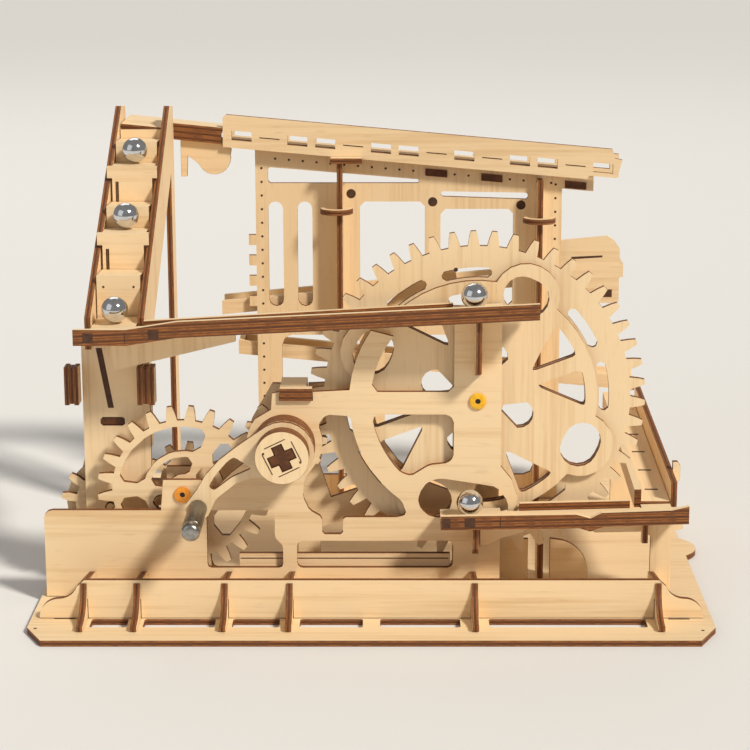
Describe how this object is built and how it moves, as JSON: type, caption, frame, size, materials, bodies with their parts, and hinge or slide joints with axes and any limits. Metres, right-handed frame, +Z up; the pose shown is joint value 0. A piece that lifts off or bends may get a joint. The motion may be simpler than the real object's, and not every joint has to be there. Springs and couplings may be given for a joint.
{
  "type": "marble run",
  "caption": "Hand cranked wooden marble run: gears turn a ball lift wheel and lift stair treads beside open sloping rails on a flat base.",
  "frame": {"origin": "middle of the base plate's underside", "axes": "+Z up, +X to the right along the front, +Y from the crank's side to the back"},
  "size_m": [0.2488, 0.206, 0.1675],
  "materials": {
    "ply": "sanded birch plywood, laser-cut, with browned edges",
    "steel": "polished",
    "yellow_bush": "moulded",
    "orange_bush": "moulded",
    "dark_peg": "dark and smooth"
  },
  "bodies": {
    "frame": {"base_plate": "ply", "front_skirt": "ply", "buttress_1": "ply", "buttress_2": "ply", "buttress_3": "ply", "buttress_4": "ply", "buttress_5": "ply", "buttress_6": "ply", "front_plate": "ply", "rear_bearing_plate": "ply", "plate_spacer": "ply", "fixed_step_1": "ply", "fixed_step_2": "ply", "stair_stringer_left": "ply", "stair_stringer_right": "ply", "stair_front_board": "ply", "stair_exit_landing": "ply", "front_track_floor": "ply", "front_track_near_wall": "ply", "front_track_rear_wall": "ply", "front_track_gusset": "ply", "tray_floor": "ply", "tray_near_wall": "ply", "tray_rear_wall": "ply", "tray_post": "ply", "side_rail_floor": "ply", "side_rail_wall": "ply", "side_rail_post": "ply", "top_rail_floor": "ply", "top_rail_front_wall": "ply", "top_rail_rear_wall": "ply", "tower_frame": "ply", "tower_post_left": "ply", "tower_post_right": "ply", "zigzag_rail_upper": "ply", "zigzag_rail_lower": "ply", "ball_entry": "steel", "ball_stair_low": "steel", "ball_stair_high": "steel"},
    "lift_wheel": {"lift_gear": "ply", "lift_gear_ring": "ply", "lift_axle": "yellow_bush"},
    "crank": {"crank_hub": "ply", "crank_arm": "ply", "crank_collar": "ply", "crank_shaft": "ply", "crank_pinion": "ply"},
    "handle": {"crank_peg": "dark_peg"},
    "idler": {"idler_gear": "ply", "idler_pinion": "ply", "idler_axle": "orange_bush"},
    "stair_drive": {"stair_gear": "ply", "stair_crank_disc": "ply"},
    "steps": {"moving_step_1": "ply", "moving_step_2": "ply", "moving_step_3": "ply", "step_comb": "ply"},
    "link": {"step_link": "ply"},
    "track_ball": {"ball_track": "steel"},
    "tray_ball": {"ball_tray": "steel"}
  },
  "joints": [
    {"name": "lift_wheel_spin", "type": "hinge", "parent": "frame", "child": "lift_wheel", "pos_m": [0.03746, -0.058, 0.0751], "axis": [0, -1, 0], "continuous": true},
    {"name": "crank_spin", "type": "hinge", "parent": "frame", "child": "crank", "pos_m": [-0.031, -0.058, 0.0598], "axis": [0, -1, 0], "continuous": true},
    {"name": "handle_spin", "type": "hinge", "parent": "crank", "child": "handle", "pos_m": [-0.06108, -0.0716, 0.03966], "axis": [0, -1, 0], "continuous": true},
    {"name": "idler_spin", "type": "hinge", "parent": "frame", "child": "idler", "pos_m": [-0.06772, -0.058, 0.04068], "axis": [0, -1, 0], "continuous": true},
    {"name": "stair_drive_spin", "type": "hinge", "parent": "frame", "child": "stair_drive", "pos_m": [-0.09522, -0.042, 0.03228], "axis": [0, -1, 0], "continuous": true},
    {"name": "steps_lift", "type": "slide", "parent": "frame", "child": "steps", "axis": [0, 0, 1], "range_m": [-0.0079, 0.0172]},
    {"name": "link_swing", "type": "hinge", "parent": "steps", "child": "link", "pos_m": [-0.0952, -0.0392, 0.07557], "axis": [0, -1, 0], "range_deg": [-0.4, 29.9]},
    {"name": "track_ball_roll", "type": "slide", "parent": "frame", "child": "track_ball", "axis": [-0.9983, 0, -0.0579], "range_m": [0, 0.112]},
    {"name": "tray_ball_roll", "type": "slide", "parent": "frame", "child": "tray_ball", "axis": [0.9997, 0, 0.026], "range_m": [0, 0.05]}
  ],
  "couplings": [
    {"joint": "crank_spin", "follows": "lift_wheel_spin", "ratio": -4.5455},
    {"joint": "idler_spin", "follows": "lift_wheel_spin", "ratio": 2},
    {"joint": "stair_drive_spin", "follows": "lift_wheel_spin", "ratio": -1.5714}
  ]
}
